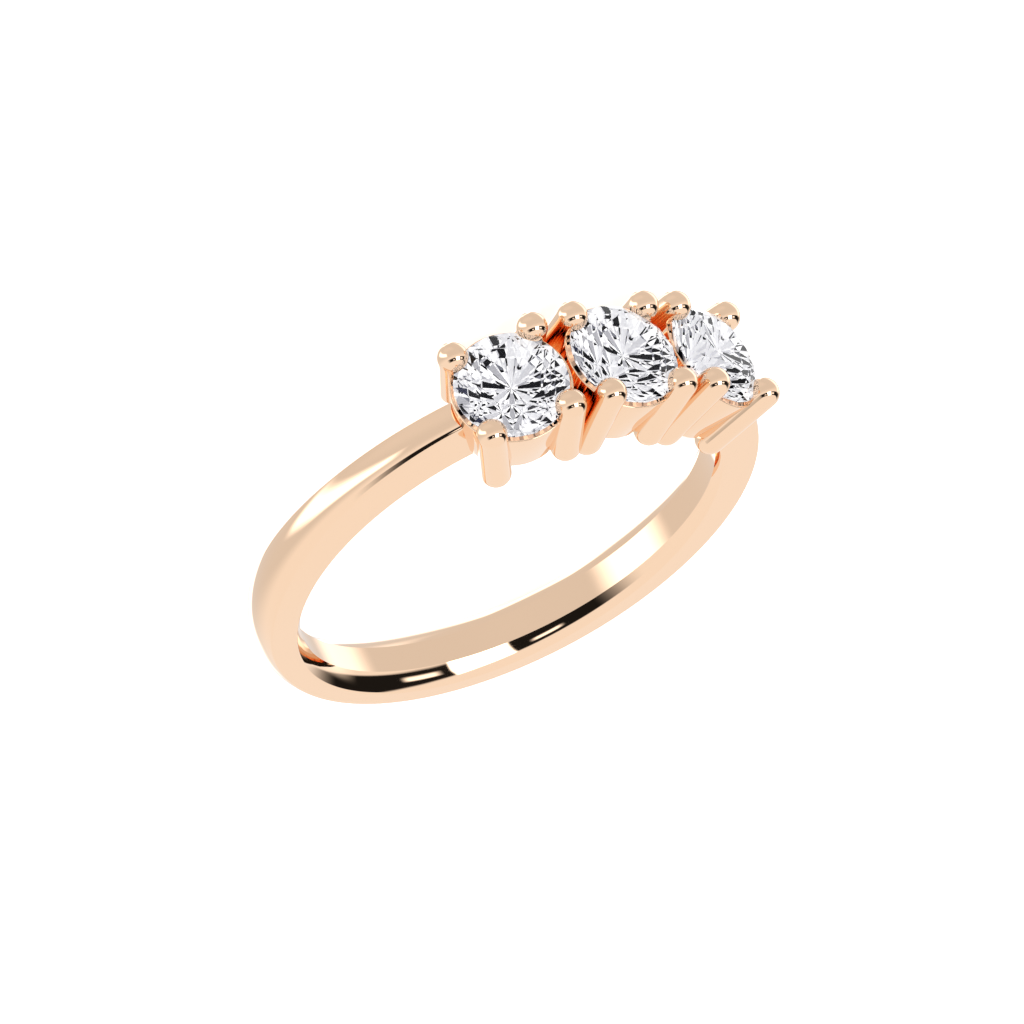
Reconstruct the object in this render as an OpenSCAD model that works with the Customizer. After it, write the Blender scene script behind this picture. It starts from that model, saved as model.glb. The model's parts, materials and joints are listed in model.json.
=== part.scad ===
// Three stone ring in rose gold, with three equal round stones side by side.
// The ring lies on its side, as it rests on a table: Z is up, the stones face -Y
// and the finger hole runs nearly along Z. The table is the plane Z = 0.
// Left and right stone are named as seen from the finger hole's upper end with
// the stones away from the viewer, so the left stone is on the +X side.

/* [Finger hole] */
// Inside diameter of the ring
inside_d = 16.9; // [15:0.1:20]
// Width of the plain inner surface that touches the finger
inner_w = 1.1; // [1:0.05:1.4]

/* [Shank] */
// Width of the shank right under the stones
shank_w_head = 1.36; // [1.2:0.02:1.6]
// Width of the shank opposite the stones
shank_w_base = 2.42; // [2.2:0.02:2.6]
// Mean thickness of the shank from the finger to its crown
shank_t = 1.74; // [1.6:0.02:2]
// How far the outer face is shifted towards the stones, which thickens that side
shank_shift = 0.14; // [0.06:0.02:0.24]
// Thickness of the shank where it ends at the outer settings
shank_t_head = 2.04; // [1.9:0.02:2.3]
// Radius of the domed outer face across the shank
dome_r = 1.96; // [1.8:0.02:2.4]
// Radius of the soft rounding on each side of the inner surface
inner_round = 2.55; // [2.3:0.05:3]
// Angle at which the rounding leaves the inner surface
inner_slope = 27; // [24:1:30]

/* [Stones] */
// Diameter of each stone at its girdle
stone_d = 4.3; // [3.6:0.02:4.6]
// Diameter of the table across its corners
table_d = 2.5; // [2:0.02:2.6]
// Slope of the main crown facets
crown_angle = 34; // [30:0.5:38]
// Slope of the main pavilion facets
pavilion_angle = 40.8; // [39:0.2:43]
// Thickness of the girdle
girdle_t = 0.12; // [0.1:0.01:0.2]
// Length of the star facets as a share of the way from the table to the girdle
star_share = 0.52; // [0.4:0.02:0.6]
// Length of the lower girdle facets as a share of the way from girdle to culet
lower_share = 0.77; // [0.6:0.01:0.85]
// Gap between the stone and its seat
seat_gap = 0.03; // [0.02:0.01:0.06]

/* [Settings] */
// Height of the girdles above the surface of the finger hole
girdle_rise = 2.72; // [2.6:0.02:3]
// Gap between the girdles of two neighbouring stones
stone_gap = 0.36; // [0.3:0.02:0.6]
// Diameter of the round prongs
prong_d = 1.18; // [0.9:0.02:1.3]
// Distance from the stone's edge out to the middle of a prong
prong_offset = 0.21; // [0.15:0.01:0.35]
// Direction of the prongs seen from above, measured from the row of stones
prong_angle = 47.6; // [45:0.2:50]
// Height of the prong tips above the girdle
prong_rise = 0.88; // [0.7:0.02:1]
// Depth of the prong feet below the girdle
prong_drop = 3.06; // [2.8:0.02:3.08]
// Lean of the prongs towards the middle of their stone
prong_lean = 4; // [0:0.5:6]
// Spread of the prongs from the middle of the band towards their feet
prong_spread = 3; // [0:0.5:4]
// Wall of the collar around the stone at its rim
collar_wall = 0.2; // [0.15:0.01:0.3]
// Distance of the collar's rim below the girdle
rim_drop = 0.08; // [0:0.02:0.2]
// Depth of the collar's lower edge below the girdle
collar_drop = 2.6; // [2.3:0.05:2.7]
// How much narrower the collar is at its lower edge
collar_taper = 0.35; // [0.1:0.05:0.5]
// Width of the groove between the collar and the end of the shank
groove_w = 0.12; // [0.1:0.01:0.3]
// Depth of the groove's floor below the girdle
groove_drop = 1.95; // [1.7:0.05:2.1]
// Radius that rounds the end of the shank
end_round = 0.2; // [0.1:0.02:0.3]
// Diameter of the hole behind each stone
light_hole_d = 1.5; // [1:0.1:2]

/* [Hidden] */
$fn = 64;

finger_r = inside_d / 2;
stone_r = stone_d / 2;
prong_r = prong_d / 2;
head_r = finger_r + girdle_rise;
// The girdles of neighbouring stones lie stone_gap apart on the circle of head_r
head_pitch = 2 * asin((stone_d + stone_gap) / (2 * head_r));
head_angles = [head_pitch, 0, -head_pitch];
collar_r = stone_r + collar_wall;

// Middle of a prong's round tip and of its round foot, in the setting's own frame
prong_reach = stone_r + prong_offset;
prong_x = prong_reach * cos(prong_angle);
prong_y = prong_reach * sin(prong_angle);
prong_len = (prong_rise + prong_drop - prong_d) / (cos(prong_lean) * cos(prong_spread));
foot_x = prong_x - prong_len * cos(prong_spread) * sin(prong_lean);
foot_z = prong_y + prong_len * sin(prong_spread);
foot_drop = prong_drop - prong_r;

// Middle of the circle that rounds each edge of the inner surface
round_y = inner_w / 2 - inner_round * sin(inner_slope);
round_r = finger_r + inner_round * cos(inner_slope);

// Heights and radii of the stone's corners
crown_h = girdle_t / 2 + (stone_r - table_d / 2) * tan(crown_angle);
star_r = table_d / 2 + star_share * (stone_r - table_d / 2);
star_h = girdle_t / 2 + (stone_r - star_r * cos(22.5)) * tan(crown_angle);
culet_h = -girdle_t / 2 - stone_r * tan(pavilion_angle);
lower_r = stone_r * (1 - lower_share);
lower_h = -girdle_t / 2 - (stone_r - lower_r * cos(22.5)) * tan(pavilion_angle);

// The side faces are flat and spread by side_slope on each side of the mid plane
side_slope = (shank_w_base - shank_w_head) / (4 * finger_r + 2 * shank_t);
side_mid = (shank_w_base + shank_w_head) / 4;

// A second domed ring, shifted further, swells the shank over the last third on
// each side; the two cross in the direction swell_from, measured from the stones
swell_from = 65;
end_a = 1.5 * head_pitch;
swell_shift = shank_shift
    + (shank_t_head - shank_t - shank_shift * cos(end_a)) / (cos(end_a) - cos(swell_from));
swell_t = shank_t - (swell_shift - shank_shift) * cos(swell_from);

// Middle of the dome's circle, and the edge where it meets the side face, both
// opposite the stones
back_dome_y = finger_r + shank_t - dome_r - shank_shift;
edge_a = 1 + side_slope * side_slope;
edge_b = side_slope * side_mid - back_dome_y;
edge_c = side_mid * side_mid + back_dome_y * back_dome_y - dome_r * dome_r;
back_edge_y = (-edge_b + sqrt(edge_b * edge_b - edge_a * edge_c)) / edge_a;
back_edge_z = side_mid + side_slope * back_edge_y;

// The ring rests on its two outer lower feet and on that edge, which leans the
// finger hole over by lean and lifts its middle by lift
foot_y = cos(head_pitch) * (head_r - foot_drop) - sin(head_pitch) * foot_x;
rest_run = foot_y + back_edge_y;
rest_rise = foot_z - back_edge_z;
lean = atan(rest_rise / rest_run) + asin(prong_r / norm([rest_run, rest_rise]));
lift = back_edge_z * cos(lean) + back_edge_y * sin(lean);
// Furthest points to the front and to the back, for the middle of the whole ring
front_y = (head_r + prong_rise - prong_r) * cos(lean) + prong_y * sin(lean) + prong_r;
back_y = back_dome_y * cos(lean) + dome_r;
far = 2 * head_r;

module at_rest()
    translate([0, (front_y - back_y) / 2, lift])
        rotate([-lean, 0, 0])
            children();

module at_head(angle)
    rotate([0, 0, angle])
        translate([0, -head_r, 0])
            rotate([90, 0, 0])
                children();

module domed_ring(thickness, shift)
    translate([0, -shift, 0])
        rotate_extrude()
            translate([finger_r + thickness - dome_r, 0])
                circle(r = dome_r);

// Wedge between the two flat side faces, narrow towards the stones
module side_faces() {
    rotate([90, 0, 90])
        linear_extrude(height = far, center = true)
            polygon([for (sy = [-1, 1], sz = [-1, 1])
                [sy * far, sy * sz * (side_mid + sy * side_slope * far)]]);
}

// Finger hole, flared by a soft rounding on both sides of the plain inner surface
module finger_hole() {
    rotate_extrude() {
        translate([0, -far / 2])
            square([finger_r, far]);
        for (sy = [-1, 1])
            scale([1, sy])
                difference() {
                    translate([0, round_y])
                        square([round_r, far]);
                    translate([round_r, round_y])
                        circle(r = inner_round);
                }
    }
}

// Room around a setting, with a rounded brim where it cuts the shank's end
module setting_pocket() {
    pocket_r = collar_r + groove_w;
    crown_r = finger_r + shank_t_head;
    edge_h = sqrt(crown_r * crown_r - pocket_r * pocket_r) - head_r;
    rotate_extrude() {
        translate([0, -groove_drop])
            square([pocket_r, groove_drop + prong_rise]);
        difference() {
            translate([0, edge_h - end_round])
                square([pocket_r + end_round, prong_rise - edge_h + end_round]);
            translate([pocket_r + end_round, edge_h - end_round])
                circle(r = end_round);
        }
    }
}

module shank() {
    difference() {
        intersection() {
            union() {
                domed_ring(shank_t, shank_shift);
                domed_ring(swell_t, swell_shift);
            }
            side_faces();
        }
        finger_hole();
        for (a = head_angles)
            at_head(a)
                setting_pocket();
    }
}

// Slightly conical collar with a thin rim that shows around the stone
module collar() {
    difference() {
        translate([0, 0, -collar_drop])
            cylinder(r1 = collar_r - collar_taper, r2 = collar_r, h = collar_drop - rim_drop);
        translate([0, 0, -rim_drop - collar_wall])
            cylinder(r = collar_r - collar_wall / 2, h = 2 * collar_wall);
    }
}

// Round prong with a domed tip at the origin and a domed foot below it
module prong() {
    rotate_extrude()
        intersection() {
            union() {
                circle(r = prong_r);
                translate([0, -prong_len])
                    circle(r = prong_r);
                translate([-prong_r, -prong_len])
                    square([prong_d, prong_len]);
            }
            translate([0, -prong_len - prong_r])
                square([prong_r, prong_len + prong_d]);
        }
}

module setting() {
    collar();
    for (sx = [-1, 1], sy = [-1, 1])
        translate([sx * prong_x, sy * prong_y, prong_rise - prong_r])
            rotate([sy * prong_spread, sx * prong_lean, 0])
                prong();
}

// Seat that the stone drops into, open upwards, and the hole behind it
module seat() {
    rotate_extrude()
        polygon([
            [0, culet_h - 2 * seat_gap],
            [lower_r + seat_gap, lower_h - seat_gap],
            [stone_r + seat_gap, -girdle_t / 2 - seat_gap],
            [stone_r + seat_gap, girdle_t / 2 + seat_gap],
            [star_r + seat_gap, star_h + seat_gap],
            [table_d / 2 + seat_gap, crown_h + seat_gap],
            [table_d / 2 + seat_gap, prong_rise + prong_r],
            [0, prong_rise + prong_r]]);
    translate([0, 0, -head_r + finger_r / 2])
        cylinder(d = light_hole_d, h = head_r - finger_r / 2 + culet_h / 2);
}

// Shank and the three four-prong settings, joined into one piece of metal
module mounting() {
    color([0.93, 0.72, 0.58])
        at_rest()
            difference() {
                union() {
                    shank();
                    for (a = head_angles)
                        at_head(a)
                            setting();
                }
                for (a = head_angles)
                    at_head(a)
                        seat();
            }
}

// Round brilliant: a table, eight kites, eight stars, sixteen upper and sixteen
// lower girdle facets and eight pavilion mains that meet in a point
module brilliant() {
    // Depth of the scallops that the upper and lower girdle facets cut in the girdle
    rim_sag = stone_r * (1 / cos(11.25) - 1);
    top_sag = rim_sag * (star_h - girdle_t / 2) / (stone_r - star_r);
    bottom_sag = rim_sag * (-girdle_t / 2 - lower_h) / (stone_r - lower_r);
    table = [for (k = [0 : 7])
        [table_d / 2 * cos(45 * k), table_d / 2 * sin(45 * k), crown_h]];
    stars = [for (k = [0 : 7]) let (a = 45 * k + 22.5) [star_r * cos(a), star_r * sin(a), star_h]];
    rim = [for (k = [0 : 31]) let (a = 11.25 * k) [stone_r * cos(a), stone_r * sin(a)]];
    top = [for (k = [0 : 31]) [rim[k][0], rim[k][1], girdle_t / 2 - (k % 2) * top_sag]];
    bottom = [for (k = [0 : 31]) [rim[k][0], rim[k][1], -girdle_t / 2 + (k % 2) * bottom_sag]];
    lower = [for (k = [0 : 7]) let (a = 45 * k + 22.5) [lower_r * cos(a), lower_r * sin(a), lower_h]];
    points = concat(table, stars, top, bottom, lower, [[0, 0, culet_h]]);
    star_at = 8;
    top_at = 16;
    bottom_at = 48;
    lower_at = 80;
    culet_at = 88;
    faces = concat(
        [[for (k = [7 : -1 : 0]) k]],
        [for (k = [0 : 7]) [k, (k + 1) % 8, star_at + k]],
        [for (k = [0 : 7]) [k, star_at + k, top_at + 4 * k, star_at + (k + 7) % 8]],
        [for (k = [0 : 7]) each [
            [star_at + k, top_at + 4 * k + 2, top_at + 4 * k + 1, top_at + 4 * k],
            [star_at + k, top_at + (4 * k + 4) % 32, top_at + 4 * k + 3, top_at + 4 * k + 2]]],
        [for (k = [0 : 31])
            [top_at + k, top_at + (k + 1) % 32, bottom_at + (k + 1) % 32, bottom_at + k]],
        [for (k = [0 : 7]) each [
            [lower_at + k, bottom_at + 4 * k, bottom_at + 4 * k + 1, bottom_at + 4 * k + 2],
            [lower_at + k, bottom_at + 4 * k + 2, bottom_at + 4 * k + 3, bottom_at + (4 * k + 4) % 32]]],
        [for (k = [0 : 7]) [culet_at, lower_at + (k + 7) % 8, bottom_at + 4 * k, lower_at + k]]);
    polyhedron(points, faces, convexity = 2);
}

module set_stone(angle) {
    color([0.93, 0.95, 0.98])
        at_rest()
            at_head(angle)
                brilliant();
}

mounting();
set_stone(head_angles[0]);  // left_stone
set_stone(head_angles[1]);  // centre_stone
set_stone(head_angles[2]);  // right_stone
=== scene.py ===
import json
import math
import bmesh
import bpy
from mathutils import Matrix, Vector


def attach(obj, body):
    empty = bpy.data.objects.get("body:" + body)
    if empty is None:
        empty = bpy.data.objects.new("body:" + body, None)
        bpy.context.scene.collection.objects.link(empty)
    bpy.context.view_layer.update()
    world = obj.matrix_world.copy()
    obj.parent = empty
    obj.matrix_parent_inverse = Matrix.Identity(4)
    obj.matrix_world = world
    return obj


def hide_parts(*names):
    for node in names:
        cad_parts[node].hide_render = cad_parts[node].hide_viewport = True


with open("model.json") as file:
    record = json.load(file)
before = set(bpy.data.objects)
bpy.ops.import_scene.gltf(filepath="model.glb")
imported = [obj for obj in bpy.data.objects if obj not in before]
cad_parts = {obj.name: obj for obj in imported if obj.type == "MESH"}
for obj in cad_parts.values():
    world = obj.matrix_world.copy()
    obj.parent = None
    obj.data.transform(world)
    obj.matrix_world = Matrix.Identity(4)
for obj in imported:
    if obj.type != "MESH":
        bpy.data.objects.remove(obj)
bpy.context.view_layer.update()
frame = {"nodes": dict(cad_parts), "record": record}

# Camera: a long lens from above the stones' left shoulder, rolled over as the
# photograph was, so that the finger hole opens towards the lower left.
AIM = Vector((-0.00038, 0.00056, 0.00164))
CAMERA_AZIMUTH = math.radians(39.286)
CAMERA_ELEVATION = math.radians(27.886)
CAMERA_ROLL = math.radians(150.142)
CAMERA_DISTANCE = 0.6608
CAMERA_NEAR = 0.05
CAMERA_FAR = 5.0
LENS_MM = 625.64
SENSOR_MM = 36.0
# Enough for light that crosses a stone, and for mirrored prongs between prongs
BOUNCES = 16
MIRROR_BOUNCES = 10

back = Vector((math.sin(CAMERA_AZIMUTH) * math.cos(CAMERA_ELEVATION),
               -math.cos(CAMERA_AZIMUTH) * math.cos(CAMERA_ELEVATION),
               math.sin(CAMERA_ELEVATION)))
camera = bpy.data.objects.new("camera", bpy.data.cameras.new("camera"))
camera.data.sensor_width = SENSOR_MM
camera.data.lens = LENS_MM
camera.data.clip_start = CAMERA_NEAR
camera.data.clip_end = CAMERA_FAR
camera.rotation_mode = "QUATERNION"
camera.rotation_quaternion = (back.to_track_quat("Z", "Y").to_matrix().to_4x4()
                              @ Matrix.Rotation(CAMERA_ROLL, 4, "Z")).to_quaternion()
camera.location = AIM + back * CAMERA_DISTANCE
bpy.context.scene.collection.objects.link(camera)
bpy.context.scene.camera = camera
bpy.context.scene.view_settings.view_transform = "Standard"
bpy.context.scene.view_settings.look = "None"
bpy.context.scene.cycles.max_bounces = BOUNCES
bpy.context.scene.cycles.glossy_bounces = MIRROR_BOUNCES


# Surroundings: a photographer's light tent. A pale dome lies over one side and a
# greyer one over the other; where they meet runs a dark gap with the lamps in it.
WHITE = "FFFFFF"
LOWER_DOME = 0.78
# Lamps and dark cloths, in degrees round the tent's pole and up from its equator:
# middle round, middle up, half width, half height, fade of the side edges, fade of
# the upper and lower edges, then the slope and the brightness
TENT_PATCHES = {
    "floor_glow": (20, -62, 60, 16, 50, 24, 0, 0.84),
    "upper_dome": (0, 59, 200, 60, 4, 26, 0, 1.0),
    "gap": (-50, 24, 86, 10.5, 30, 2.5, 0, 0.012),
    "main_lamp": (-38, 23.5, 15, 11.5, 3, 1.5, 0, 4.0),
    "left_lamp": (-69, 24, 9, 3.5, 6, 4, 0, 1.8),
    "right_lamp": (-5, 25.5, 7, 2, 5, 3, 0, 1.8),
    "strip_lamp": (74, -30, 38, 9, 16, 11, -0.22, 2.3),
    "inner_glow": (-131, -18, 15, 24, 20, 20, 0.5, 1.7),
    "rear_strip": (161, -30, 7, 30, 8, 10, 0, 2.2),
    "rear_foot": (172, -57, 20, 5, 8, 8, 0, 2.2),
    "rear_side": (-173, -35, 6, 20, 8, 10, 0, 2.2),
}
TENT_POLE = Vector((-0.096, 0.348, 0.9325)).normalized()
TENT_FRONT = (back - back.dot(TENT_POLE) * TENT_POLE).normalized()
TENT_SIDE = TENT_POLE.cross(TENT_FRONT)


def linear(code):
    parts = [int(code[i:i + 2], 16) / 255 for i in (0, 2, 4)]
    return [c / 12.92 if c <= 0.04045 else ((c + 0.055) / 1.055) ** 2.4 for c in parts] + [1.0]


def add_node(tree, kind, settings=None):
    # A setting is a value for the node or for one of its inputs, or else what is
    # linked to that input: a socket, or a node whose first output is meant
    node = tree.nodes.new(kind)
    for key, value in (settings or {}).items():
        if isinstance(value, bpy.types.Node):
            value = value.outputs[0]
        if isinstance(value, bpy.types.NodeSocket):
            tree.links.new(value, node.inputs[key])
        elif isinstance(key, str) and hasattr(node, key):
            setattr(node, key, value)
        else:
            node.inputs[key].default_value = value
    return node


world = bpy.data.worlds.new("light_tent")
bpy.context.scene.world = world
world.use_nodes = True
tree = world.node_tree
tree.nodes.clear()
direction = add_node(tree, "ShaderNodeTexCoord").outputs["Generated"]
front, side, pole = [
    add_node(tree, "ShaderNodeVectorMath",
             {"operation": "DOT_PRODUCT", 0: direction, 1: axis}).outputs["Value"]
    for axis in (TENT_FRONT, TENT_SIDE, TENT_POLE)]
turn = add_node(tree, "ShaderNodeMath", {"operation": "ARCTAN2", 0: side, 1: front})
turn = add_node(tree, "ShaderNodeMath", {"operation": "DEGREES", 0: turn})
rise = add_node(tree, "ShaderNodeMath", {"operation": "ARCSINE", 0: pole})
rise = add_node(tree, "ShaderNodeMath", {"operation": "DEGREES", 0: rise})
light = add_node(tree, "ShaderNodeValue").outputs[0]
light.default_value = LOWER_DOME
for patch in TENT_PATCHES.values():
    mid_turn, mid_rise, half_turn, half_rise, turn_fade, rise_fade, slope, bright = patch
    off = add_node(tree, "ShaderNodeMath", {"operation": "SUBTRACT", 0: turn, 1: mid_turn})
    off = add_node(tree, "ShaderNodeMath", {"operation": "WRAP", 0: off, 1: 180.0, 2: -180.0})
    middle = add_node(tree, "ShaderNodeMath", {"operation": "MULTIPLY", 0: off, 1: slope})
    middle = add_node(tree, "ShaderNodeMath", {"operation": "ADD", 0: middle, 1: mid_rise})
    up = add_node(tree, "ShaderNodeMath", {"operation": "SUBTRACT", 0: rise, 1: middle})
    shares = []
    for half, distance, fade in ((half_turn, off, turn_fade), (half_rise, up, rise_fade)):
        away = add_node(tree, "ShaderNodeMath", {"operation": "ABSOLUTE", 0: distance})
        shares.append(add_node(tree, "ShaderNodeMapRange", {
            "interpolation_type": "SMOOTHSTEP", "Value": away,
            "From Min": half + fade / 2, "From Max": half - fade / 2}))
    inside = add_node(tree, "ShaderNodeMath",
                      {"operation": "MULTIPLY", 0: shares[0], 1: shares[1]})
    light = add_node(tree, "ShaderNodeMix",
                     {"data_type": "FLOAT", "Factor": inside, "A": light, "B": bright})
seen = add_node(tree, "ShaderNodeBackground", {"Color": linear(WHITE), "Strength": light})
plain = add_node(tree, "ShaderNodeBackground", {"Color": linear(WHITE), "Strength": 1.0})
ray = add_node(tree, "ShaderNodeLightPath").outputs["Is Camera Ray"]
mixed = add_node(tree, "ShaderNodeMixShader", {0: ray, 1: seen, 2: plain})
add_node(tree, "ShaderNodeOutputWorld", {"Surface": mixed})


# Floor: a sheet of matt white acrylic, lit from below as product tables are, which
# leaves only a faint shade where the ring touches it.
FLOOR_HALF = 2.0
FLOOR_WHITE = "FBFAF8"
FLOOR_ROUGHNESS = 0.9
FLOOR_GLOW = 0.62

bm = bmesh.new()
bmesh.ops.create_grid(bm, x_segments=1, y_segments=1, size=FLOOR_HALF)
mesh = bpy.data.meshes.new("floor")
bm.to_mesh(mesh)
bm.free()
floor = bpy.data.objects.new("floor", mesh)
bpy.context.scene.collection.objects.link(floor)
floor.visible_glossy = False
floor.visible_transmission = False
acrylic = bpy.data.materials.new("matt_acrylic")
acrylic.use_nodes = True
tree = acrylic.node_tree
tree.nodes.clear()
matt = add_node(tree, "ShaderNodeBsdfPrincipled", {
    "Base Color": linear(FLOOR_WHITE), "Roughness": FLOOR_ROUGHNESS,
    "Emission Color": linear(WHITE), "Emission Strength": FLOOR_GLOW})
add_node(tree, "ShaderNodeOutputMaterial", {"Surface": matt})
mesh.materials.append(acrylic)


# Rose gold: 14 carat, gold with copper for the blush, cast and buffed to a mirror.
# Buffing leaves a faint waviness and hairlines too fine to see one by one, which
# soften the edges of what it mirrors.
ROSE_GOLD = "F9D7B8"
BUFF_WAVE_MM = 1.5
BUFF_DEPTH_M = 0.0002
BUFF_BUMP = 0.015
HAIRLINE_MM = 0.05
SMOOTHEST = 0.02
ROUGHEST = 0.05

rose_gold = bpy.data.materials.new("rose_gold_polished")
rose_gold.use_nodes = True
tree = rose_gold.node_tree
tree.nodes.clear()
place = add_node(tree, "ShaderNodeTexCoord").outputs["Object"]
wave = add_node(tree, "ShaderNodeTexNoise",
                {"Vector": place, "Scale": 1000 / BUFF_WAVE_MM, "Detail": 1.0})
hair = add_node(tree, "ShaderNodeTexNoise",
                {"Vector": place, "Scale": 1000 / HAIRLINE_MM, "Detail": 3.0})
rough = add_node(tree, "ShaderNodeMapRange",
                 {"Value": hair.outputs["Fac"], "To Min": SMOOTHEST, "To Max": ROUGHEST})
bump = add_node(tree, "ShaderNodeBump",
                {"Height": wave.outputs["Fac"], "Strength": BUFF_BUMP, "Distance": BUFF_DEPTH_M})
gold = add_node(tree, "ShaderNodeBsdfPrincipled", {
    "Base Color": linear(ROSE_GOLD), "Metallic": 1.0, "Roughness": rough, "Normal": bump})
add_node(tree, "ShaderNodeOutputMaterial", {"Surface": gold})


# Shank: one strip of rose gold, domed outside and softly flared to the finger
# hole. It narrows towards the settings, is pocketed to take the collars, and has a
# light hole drilled through behind each stone. Sizes from here on are millimetres.
FINGER_R = 8.45
HEAD_R = 11.17
HEAD_PITCH = 24.08
HEADS = {"left": HEAD_PITCH, "centre": 0.0, "right": -HEAD_PITCH}
INNER_HALF = 0.55
INNER_ROUND = 0.045
FLARE_R = 2.55
FLARE_ANGLE = math.radians(27)
# Half width at the middle of the finger hole, how it falls towards the settings,
# and the distance from that middle at which it is taken
SIDE_MID = 0.945
SIDE_SLOPE = 0.0284
SIDE_REACH = 9.6
SHOULDER_ROUND = 0.05
# Two eccentric domes, the shank's own and the swell behind the settings, and how
# softly one runs into the other
DOME_R = 1.96
SHANK_T = 1.74
SHANK_SHIFT = 0.14
SWELL_T = 1.535
SWELL_SHIFT = 0.625
DOME_BLEND = 0.08
# The left upper shoulder is drawn in near the settings, to a rounder crown that
# meets it at a steeper angle
TUCK = 0.25
TUCK_FROM = math.radians(66)
TUCK_TO = math.radians(112)
CROWN_ANGLE = math.radians(40)
CROWN_REACH = 0.8
POCKET_LOW_R = 2.04
POCKET_WALL = 0.15
POCKET_MIDDLE_R = 2.75
POCKET_DROP = 1.95
POCKET_TOP = 1.0
BRIM_T = 2.0
BRIM_ROUND = 0.2
BRIM_STEPS = 8
LIGHT_HOLE_R = 0.75
LIGHT_HOLE_DROP = 3.2
SHANK_STEPS = 240
POCKET_STEPS = 128
# Edges sharper than this, in degrees, stay crisp
CRISP = 30
CRISP_SHANK = 14
# The strip's section is spun as layers this far apart, then each is moved to its place
LAYERS_FROM = 9.0
LAYER_GAP = 0.01

bore = frame["record"]["mounts"][0]
lean = math.atan2(bore["axis"][1], bore["axis"][2])
at_rest = (Matrix.Translation(bore["pos_m"]) @ Matrix.Rotation(-lean, 4, "X")
           @ Matrix.Scale(0.001, 4))


def at_head(angle):
    return (Matrix.Rotation(math.radians(angle), 4, "Z") @ Matrix.Translation((0, -HEAD_R, 0))
            @ Matrix.Rotation(math.radians(90), 4, "X"))


def lathe(profile, steps, closed=True):
    bm = bmesh.new()
    verts = [bm.verts.new((r, 0, z)) for r, z in profile]
    count = len(verts)
    for i in range(count if closed else count - 1):
        bm.edges.new((verts[i], verts[(i + 1) % count]))
    bmesh.ops.spin(bm, geom=bm.verts[:] + bm.edges[:], cent=(0, 0, 0), axis=(0, 0, 1),
                   angle=math.tau, steps=steps, use_merge=True)
    bmesh.ops.remove_doubles(bm, verts=bm.verts[:], dist=1e-5)
    bmesh.ops.recalc_face_normals(bm, faces=bm.faces[:])
    return bm


def round_off(bm, edges, size, segments):
    bmesh.ops.bevel(bm, geom=edges, offset=size, segments=segments, profile=0.5,
                    affect="EDGES", material=-1, offset_type="OFFSET")


def shade(mesh, crisp):
    mesh.polygons.foreach_set("use_smooth", [True] * len(mesh.polygons))
    mesh.set_sharp_from_angle(angle=math.radians(crisp))


def finish_mesh(bm, name, matrix):
    bmesh.ops.transform(bm, matrix=matrix, verts=bm.verts[:])
    mesh = bpy.data.meshes.new(name)
    bm.to_mesh(mesh)
    bm.free()
    shade(mesh, CRISP)
    piece = bpy.data.objects.new(name, mesh)
    bpy.context.scene.collection.objects.link(piece)
    return piece


def cut_away(piece, cutters, crisp=CRISP, folded=False):
    for cutter in cutters:
        cut = piece.modifiers.new("cut", "BOOLEAN")
        cut.operation = "DIFFERENCE"
        cut.solver = "EXACT"
        cut.use_self = folded
        cut.object = cutter
    shaped = bpy.data.meshes.new_from_object(
        piece.evaluated_get(bpy.context.evaluated_depsgraph_get()))
    piece.modifiers.clear()
    piece.data = shaped
    shade(shaped, crisp)
    for cutter in cutters:
        bpy.data.objects.remove(cutter)


def polish(piece):
    even = piece.modifiers.new("even_shading", "WEIGHTED_NORMAL")
    even.keep_sharp = True
    piece.data.materials.clear()
    piece.data.materials.append(rose_gold)
    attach(piece, "root")
    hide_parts("mounting")


def side_half(turn):
    return SIDE_MID - SIDE_SLOPE * SIDE_REACH * math.cos(turn)


def tuck(turn, sign):
    if turn <= 0 or sign < 0:
        return 0
    share = min(max((TUCK_TO - turn) / (TUCK_TO - TUCK_FROM), 0), 1)
    return share * share * (3 - 2 * share)


def crown_reach(turn, height, edge):
    arc = (edge - TUCK) / math.sin(CROWN_ANGLE)
    low = min(abs(height), arc * CROWN_REACH)
    share = tuck(turn, height)
    arm = ((1 - share) * math.sqrt(DOME_R ** 2 - height ** 2)
           + share * (DOME_R - arc + math.sqrt(arc ** 2 - low ** 2)))
    reaches = []
    for thick, shift in ((SHANK_T, SHANK_SHIFT), (SWELL_T, SWELL_SHIFT)):
        middle = FINGER_R + thick - DOME_R + arm
        reaches.append(shift * math.cos(turn)
                       + math.sqrt(middle ** 2 - (shift * math.sin(turn)) ** 2))
    spread = reaches[0] - reaches[1]
    return (sum(reaches) + math.sqrt(spread ** 2 + DOME_BLEND ** 2)) / 2


def flare_reach(height):
    start = INNER_HALF - FLARE_R * math.sin(FLARE_ANGLE)
    return (FINGER_R + FLARE_R * math.cos(FLARE_ANGLE)
            - math.sqrt(FLARE_R ** 2 - (height - start) ** 2))


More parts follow.
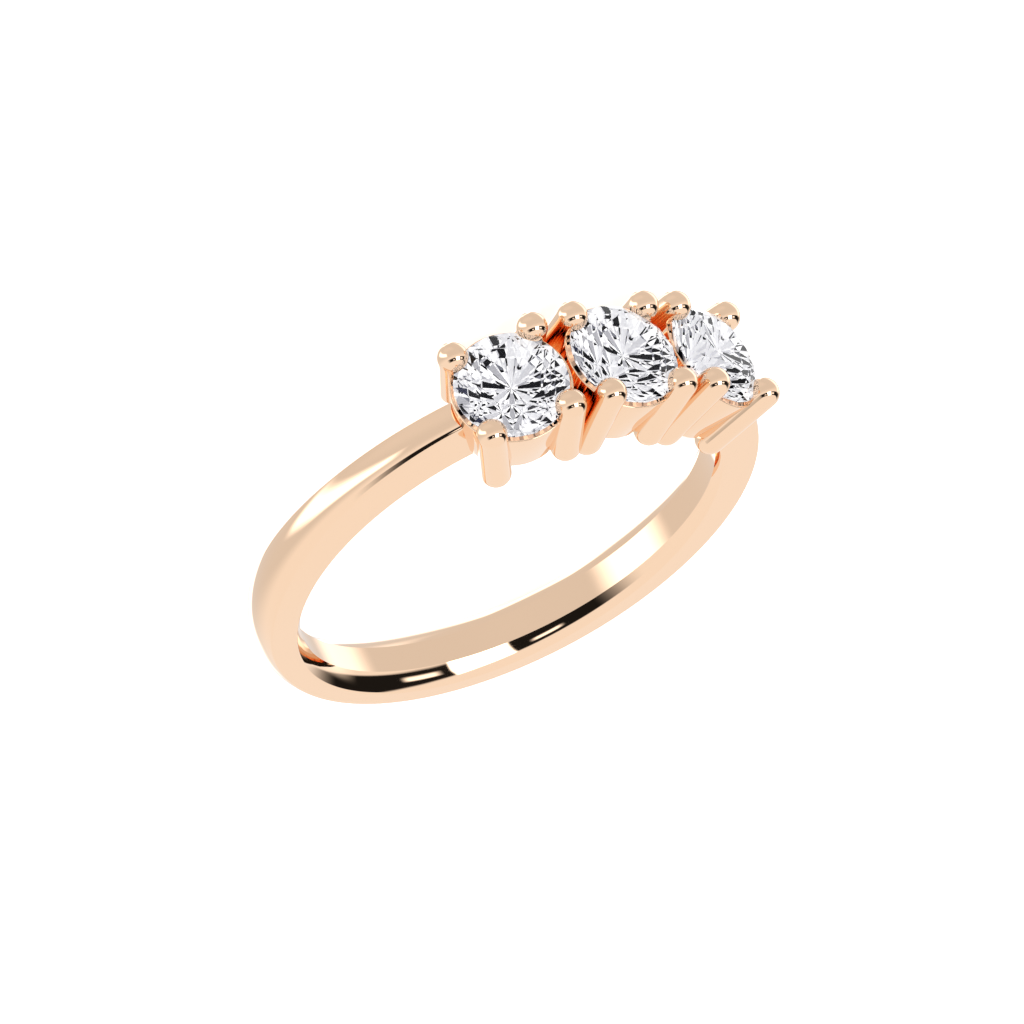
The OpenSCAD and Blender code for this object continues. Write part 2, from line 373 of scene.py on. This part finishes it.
# A layer is a stretch of the section and a share of the way along it. A share of 1
# is the corner where the flare meets the side, or the side meets the crown.
flare_shares = [0.15, 0.3, 0.45, 0.6, 1]
side_shares = [0.2, 0.4, 0.6, 0.8, 1]
layers = ([("flat", i / 4) for i in range(-4, 5)]
          + [("flare", share) for share in flare_shares]
          + [("side", share) for share in side_shares]
          + [("crown", i / 25) for i in range(23, -24, -1)]
          + [("side", -share) for share in reversed(side_shares)]
          + [("flare", -share) for share in reversed(flare_shares)])
bm = lathe([(LAYERS_FROM + LAYER_GAP * i, 0.0) for i in range(len(layers))], SHANK_STEPS)
layer = bm.verts.layers.int.new("layer")
for v in bm.verts:
    turn = math.atan2(v.co.x, -v.co.y)
    steps_out = round((math.hypot(v.co.x, v.co.y) - LAYERS_FROM) / LAYER_GAP)
    v[layer] = min(steps_out, len(layers) - 1)
    kind, share = layers[v[layer]]
    edge = side_half(turn)
    sign = math.copysign(1, share)
    shoulder = edge - TUCK * tuck(turn, sign)
    if kind == "flat":
        reach, height = FINGER_R, INNER_HALF * share
    elif kind == "flare":
        height = sign * (INNER_HALF + (edge - INNER_HALF) * abs(share))
        reach = flare_reach(abs(height))
    elif kind == "side":
        height = sign * (edge + (shoulder - edge) * abs(share))
        low, high = flare_reach(edge), crown_reach(turn, sign * shoulder, edge)
        reach = low + (high - low) * abs(share)
    else:
        height = shoulder * share
        reach = crown_reach(turn, height, edge)
    v.co = (reach * math.sin(turn), -reach * math.cos(turn), height)
bmesh.ops.recalc_face_normals(bm, faces=bm.faces[:])
for corner, size in (("side", SHOULDER_ROUND), ("flare", INNER_ROUND)):
    round_off(bm, [e for e in bm.edges
                   if e.verts[0][layer] == e.verts[1][layer]
                   and layers[e.verts[0][layer]] in ((corner, 1), (corner, -1))], size, 5)
shank = finish_mesh(bm, "shank", at_rest)
cutters = []
for name, angle in HEADS.items():
    low, wall = (POCKET_LOW_R, POCKET_WALL) if angle else (POCKET_MIDDLE_R, 0)
    brim = math.sqrt((FINGER_R + BRIM_T) ** 2 - low ** 2) - HEAD_R - BRIM_ROUND
    top = low + wall * (brim + POCKET_DROP)
    profile = [(0, -LIGHT_HOLE_DROP), (LIGHT_HOLE_R, -LIGHT_HOLE_DROP),
               (LIGHT_HOLE_R, -POCKET_DROP), (low, -POCKET_DROP), (top, brim)]
    for i in range(1, BRIM_STEPS + 1):
        step = math.radians(90) * i / BRIM_STEPS
        profile.append((top + BRIM_ROUND * (1 - math.cos(step)),
                        brim + BRIM_ROUND * math.sin(step)))
    profile += [(top + BRIM_ROUND, POCKET_TOP), (0, POCKET_TOP)]
    cutters.append(finish_mesh(lathe(profile, POCKET_STEPS), "pocket_" + name,
                               at_rest @ at_head(angle)))
cut_away(shank, cutters, crisp=CRISP_SHANK, folded=True)
polish(shank)


# Settings: a slightly conical collar turned for each stone, with a thin bright rim,
# and four round wires soldered down its sides, whose domed tips stand over the
# stone's edge. Depths and rises are measured from the stone's girdle.
STONE_R = 2.15
GIRDLE_HALF = 0.06
TABLE_R = 1.25
CROWN_SLOPE = math.tan(math.radians(34))
PAVILION_SLOPE = math.tan(math.radians(40.8))
SEAT_GAP = 0.03
SEAT_DROP = 2.2
SEAT_RISE = 2.0
COLLAR_TOP_R = 2.29
COLLAR_LOW_R = 2.0
COLLAR_DROP = 2.6
COLLAR_LOW_ROUND = 0.1
RIM_DROP = 0.18
RIM_ROUND = 0.045
LEDGE_R = 2.2
LEDGE_ROUND = 0.03
LEDGE_FOOT_R = 2.16
LEDGE_FOOT_DROP = 0.28
BEARING_R = 1.96
COLLAR_STEPS = 160
PRONG_R = 0.59
PRONG_OFFSET = 0.21
PRONG_ANGLE = math.radians(47.6)
PRONG_RISE = 0.88
PRONG_DROP = 3.06
PRONG_LEAN = 4.0
PRONG_SPREAD = 3.0
PRONG_RINGS = 12
PRONG_STEPS = 72


def round_rings(bm, corners):
    for r, z, size, segments in corners:
        round_off(bm, [e for e in bm.edges
                       if all(abs(math.hypot(v.co.x, v.co.y) - r) < 1e-3
                              and abs(v.co.z - z) < 1e-3 for v in e.verts)], size, segments)


def bearing(r):
    return -GIRDLE_HALF - SEAT_GAP - (STONE_R + SEAT_GAP - r) * PAVILION_SLOPE


prong_length = ((PRONG_RISE + PRONG_DROP - 2 * PRONG_R)
                / (math.cos(math.radians(PRONG_LEAN)) * math.cos(math.radians(PRONG_SPREAD))))
prong_reach = STONE_R + PRONG_OFFSET
tip = [(PRONG_R * math.sin(math.radians(a)), PRONG_R * math.cos(math.radians(a)))
       for a in range(0, 91, 5)]
wire = (tip + [(PRONG_R, -prong_length * i / PRONG_RINGS) for i in range(1, PRONG_RINGS)]
        + [(r, -prong_length - z) for r, z in reversed(tip)])
for name, angle in HEADS.items():
    bm = lathe([(LIGHT_HOLE_R, -COLLAR_DROP), (COLLAR_LOW_R, -COLLAR_DROP),
                (COLLAR_TOP_R, -RIM_DROP), (LEDGE_R, -RIM_DROP),
                (LEDGE_FOOT_R, -LEDGE_FOOT_DROP), (BEARING_R, bearing(BEARING_R)),
                (LIGHT_HOLE_R, bearing(LIGHT_HOLE_R))], COLLAR_STEPS)
    round_rings(bm, [(COLLAR_LOW_R, -COLLAR_DROP, COLLAR_LOW_ROUND, 4),
                     (COLLAR_TOP_R, -RIM_DROP, RIM_ROUND, 5),
                     (LEDGE_R, -RIM_DROP, LEDGE_ROUND, 4)])
    polish(finish_mesh(bm, name + "_collar", at_rest @ at_head(angle)))

    four = bmesh.new()
    for sx in (-1, 1):
        for sy in (-1, 1):
            bm = lathe(wire, PRONG_STEPS, closed=False)
            place = (Matrix.Translation((sx * prong_reach * math.cos(PRONG_ANGLE),
                                         sy * prong_reach * math.sin(PRONG_ANGLE),
                                         PRONG_RISE - PRONG_R))
                     @ Matrix.Rotation(math.radians(sx * PRONG_LEAN), 4, "Y")
                     @ Matrix.Rotation(math.radians(sy * PRONG_SPREAD), 4, "X"))
            bmesh.ops.transform(bm, matrix=place, verts=bm.verts[:])
            one = bpy.data.meshes.new("prong")
            bm.to_mesh(one)
            bm.free()
            four.from_mesh(one)
            bpy.data.meshes.remove(one)
    prongs = finish_mesh(four, name + "_prongs", at_rest @ at_head(angle))
    wide = STONE_R + SEAT_GAP
    deep = GIRDLE_HALF + SEAT_GAP
    seat = lathe([(0, -SEAT_DROP), (wide, -deep), (wide, deep),
                  (TABLE_R, deep + (wide - TABLE_R) * CROWN_SLOPE),
                  (TABLE_R, SEAT_RISE), (0, SEAT_RISE)], COLLAR_STEPS)
    cut_away(prongs, [finish_mesh(seat, "seat", at_rest @ at_head(angle))])
    polish(prongs)


# Stones: three equal round brilliants of near colourless diamond, cut with flat
# polished facets. The facets behind carry painted reflections of light and dark in eight
# arrows, with a painted glow, which show through the clear crown as sharp shards in one star on
# every stone.
NEAR_BLACK = "05060A"
NAVY = "23263A"
SMOKE = "6E6F78"
ASH = "A9A9AE"
PALE_GREY = "C6C6CA"
MIST = "D8D8DB"
FROST = "E6E6E8"
# Where each painted reflection tone starts, from dark to light, as a share of the stone's face
TONES = [(0.0, NEAR_BLACK), (0.16, SMOKE), (0.21, ASH), (0.3, PALE_GREY), (0.42, MIST),
         (0.56, FROST), (0.73, WHITE)]
# The painted reflection tone of each arrow's shaft and head, going round the stone
ARROW_SHAFTS = [PALE_GREY, ASH, MIST, NEAR_BLACK, PALE_GREY, MIST, ASH, NEAR_BLACK]
ARROW_HEADS = [NAVY, PALE_GREY, NEAR_BLACK, NEAR_BLACK, WHITE, MIST, NEAR_BLACK, NAVY]
ARROWS = 8
# An arrow's shape, as shares of the stone's radius
SHAFT_FROM = 0.11
SHAFT_TO = 0.5
SHAFT_HALF = 0.015
SHAFT_FLARE = 0.1
HEAD_FROM = 0.53
HEAD_TIP = 0.86
HEAD_FLARE = 0.22
# Lines that part the shards between two arrows: what counts along the arrow, what
# counts away from it, and where their sum passes the line
SHARD_LINES = [(1, 0, 0.5), (-0.199, 1, 0), (1, 1.6, 0.62), (1, -2.2, 0.12), (1, 0, 0.74),
               (1, 0.6, 0.34), (1, 2.6, 1.05), (1, -1.2, 0.6), (-0.1, 1, 0.015),
               (1, -3.4, 0.3), (1, 3.2, 0.8), (1, -0.5, 0.22), (1, 1.1, 0.44)]
# Keeps two shards from sharing one chance number
SHARD_ODD = 0.37
# The facets further back than this, in millimetres from the girdle, carry the star of painted
# reflections
BACK_FACETS = -0.065
# How strongly the painted reflections glow: a painted glow on facets that are no lamp
PAINTED_GLOW = 0.62
BACK_ROUGHNESS = 0.02
DIAMOND_IOR = 2.417
# The crown mirrors less than bare diamond, or the white tent would grey its dark facets
CROWN_MIRROR = "5A5A5E"

# The star's sums in order: result, operation, and what goes in, which is a number or
# an earlier result. It starts from x and y on the stone's face and the height above
# the girdle; along and aside then lie on the nearest arrow, and code tells a shard.
STAR_SUMS = [
    ("turn", "ARCTAN2", "y", "x"),
    ("turn", "FLOORED_MODULO", "turn", math.tau),
    ("arm", "DIVIDE", "turn", math.tau),
    ("x_squared", "MULTIPLY", "x", "x"),
    ("y_squared", "MULTIPLY", "y", "y"),
    ("away", "ADD", "x_squared", "y_squared"),
    ("away", "SQRT", "away"),
    ("off", "FLOORED_MODULO", "turn", math.tau / ARROWS),
    ("off", "SUBTRACT", "off", math.tau / ARROWS / 2),
    ("along", "COSINE", "off"),
    ("along", "MULTIPLY", "away", "along"),
    ("aside", "SINE", "off"),
    ("aside", "MULTIPLY", "away", "aside"),
    ("aside", "ABSOLUTE", "aside"),
    ("shaft_edge", "MULTIPLY", "along", SHAFT_FLARE),
    ("shaft_edge", "ADD", "shaft_edge", SHAFT_HALF),
    ("shaft", "LESS_THAN", "aside", "shaft_edge"),
    ("before", "LESS_THAN", "along", SHAFT_TO),
    ("shaft", "MULTIPLY", "shaft", "before"),
    ("past", "GREATER_THAN", "along", SHAFT_FROM),
    ("shaft", "MULTIPLY", "shaft", "past"),
    ("head_edge", "SUBTRACT", HEAD_TIP, "along"),
    ("head_edge", "MULTIPLY", "head_edge", HEAD_FLARE),
    ("head", "LESS_THAN", "aside", "head_edge"),
    ("past", "GREATER_THAN", "along", HEAD_FROM),
    ("head", "MULTIPLY", "head", "past"),
    ("behind", "LESS_THAN", "height", BACK_FACETS),
    ("code", "MULTIPLY", "arm", 2 * ARROWS),
    ("code", "FLOOR", "code"),
]
for k, (count_along, count_aside, line) in enumerate(SHARD_LINES):
    STAR_SUMS += [
        ("sum_along", "MULTIPLY", "along", count_along),
        ("sum_aside", "MULTIPLY", "aside", count_aside),
        ("sum", "ADD", "sum_along", "sum_aside"),
        ("past", "GREATER_THAN", "sum", line),
        ("past", "MULTIPLY", "past", 2 * ARROWS * 2 ** k + SHARD_ODD),
        ("code", "ADD", "code", "past"),
    ]


def set_steps(ramp, steps):
    ramp.interpolation = "CONSTANT"
    for k, (start, code) in enumerate(steps):
        stop = ramp.elements[k] if k < 2 else ramp.elements.new(start)
        stop.position = start
        stop.color = linear(code)


def cut_diamond(name, middle, across, upward, outward):
    diamond = bpy.data.materials.new(name)
    diamond.use_nodes = True
    tree = diamond.node_tree
    tree.nodes.clear()
    place = add_node(tree, "ShaderNodeTexCoord").outputs["Object"]
    place = add_node(tree, "ShaderNodeVectorMath",
                     {"operation": "SUBTRACT", 0: place, 1: middle})
    values = {}
    for key, axis in (("x", across * 1000 / STONE_R), ("y", upward * 1000 / STONE_R),
                      ("height", outward * 1000)):
        values[key] = add_node(
            tree, "ShaderNodeVectorMath",
            {"operation": "DOT_PRODUCT", 0: place, 1: axis}).outputs["Value"]
    for result, operation, *sources in STAR_SUMS:
        settings = {"operation": operation}
        for i, source in enumerate(sources):
            settings[i] = values[source] if isinstance(source, str) else source
        values[result] = add_node(tree, "ShaderNodeMath", settings)

    chance = add_node(tree, "ShaderNodeTexWhiteNoise",
                      {"noise_dimensions": "1D", "W": values["code"]})
    tone = add_node(tree, "ShaderNodeValToRGB", {"Fac": chance.outputs["Value"]})
    set_steps(tone.color_ramp, TONES)
    for part, codes in (("shaft", ARROW_SHAFTS), ("head", ARROW_HEADS)):
        colour = add_node(tree, "ShaderNodeValToRGB", {"Fac": values["arm"]})
        set_steps(colour.color_ramp, [(k / ARROWS, code) for k, code in enumerate(codes)])
        tone = add_node(tree, "ShaderNodeMix", {
            "data_type": "RGBA", "Factor": values[part], 6: tone, 7: colour}).outputs[2]
    # The facets behind: painted reflections of light and dark, with a painted glow
    painted_reflection = add_node(tree, "ShaderNodeBsdfPrincipled", {
        "Base Color": tone, "Roughness": BACK_ROUGHNESS, "IOR": DIAMOND_IOR,
        "Specular IOR Level": 0.0, "Emission Color": tone, "Emission Strength": PAINTED_GLOW})
    clear = add_node(tree, "ShaderNodeBsdfPrincipled", {
        "Base Color": linear(WHITE), "Roughness": 0.0, "IOR": DIAMOND_IOR,
        "Transmission Weight": 1.0, "Specular Tint": linear(CROWN_MIRROR)})
    both = add_node(tree, "ShaderNodeMixShader", {0: values["behind"], 1: clear, 2: painted_reflection})
    add_node(tree, "ShaderNodeOutputMaterial", {"Surface": both})
    return diamond


for name, angle in HEADS.items():
    stone = frame["nodes"][name + "_stone"]
    spot = at_rest @ at_head(angle)
    turned = spot.to_3x3().normalized()
    cut = cut_diamond("diamond_cut_" + name, spot.translation, *turned.col)
    for slot in stone.material_slots:
        slot.material = cut
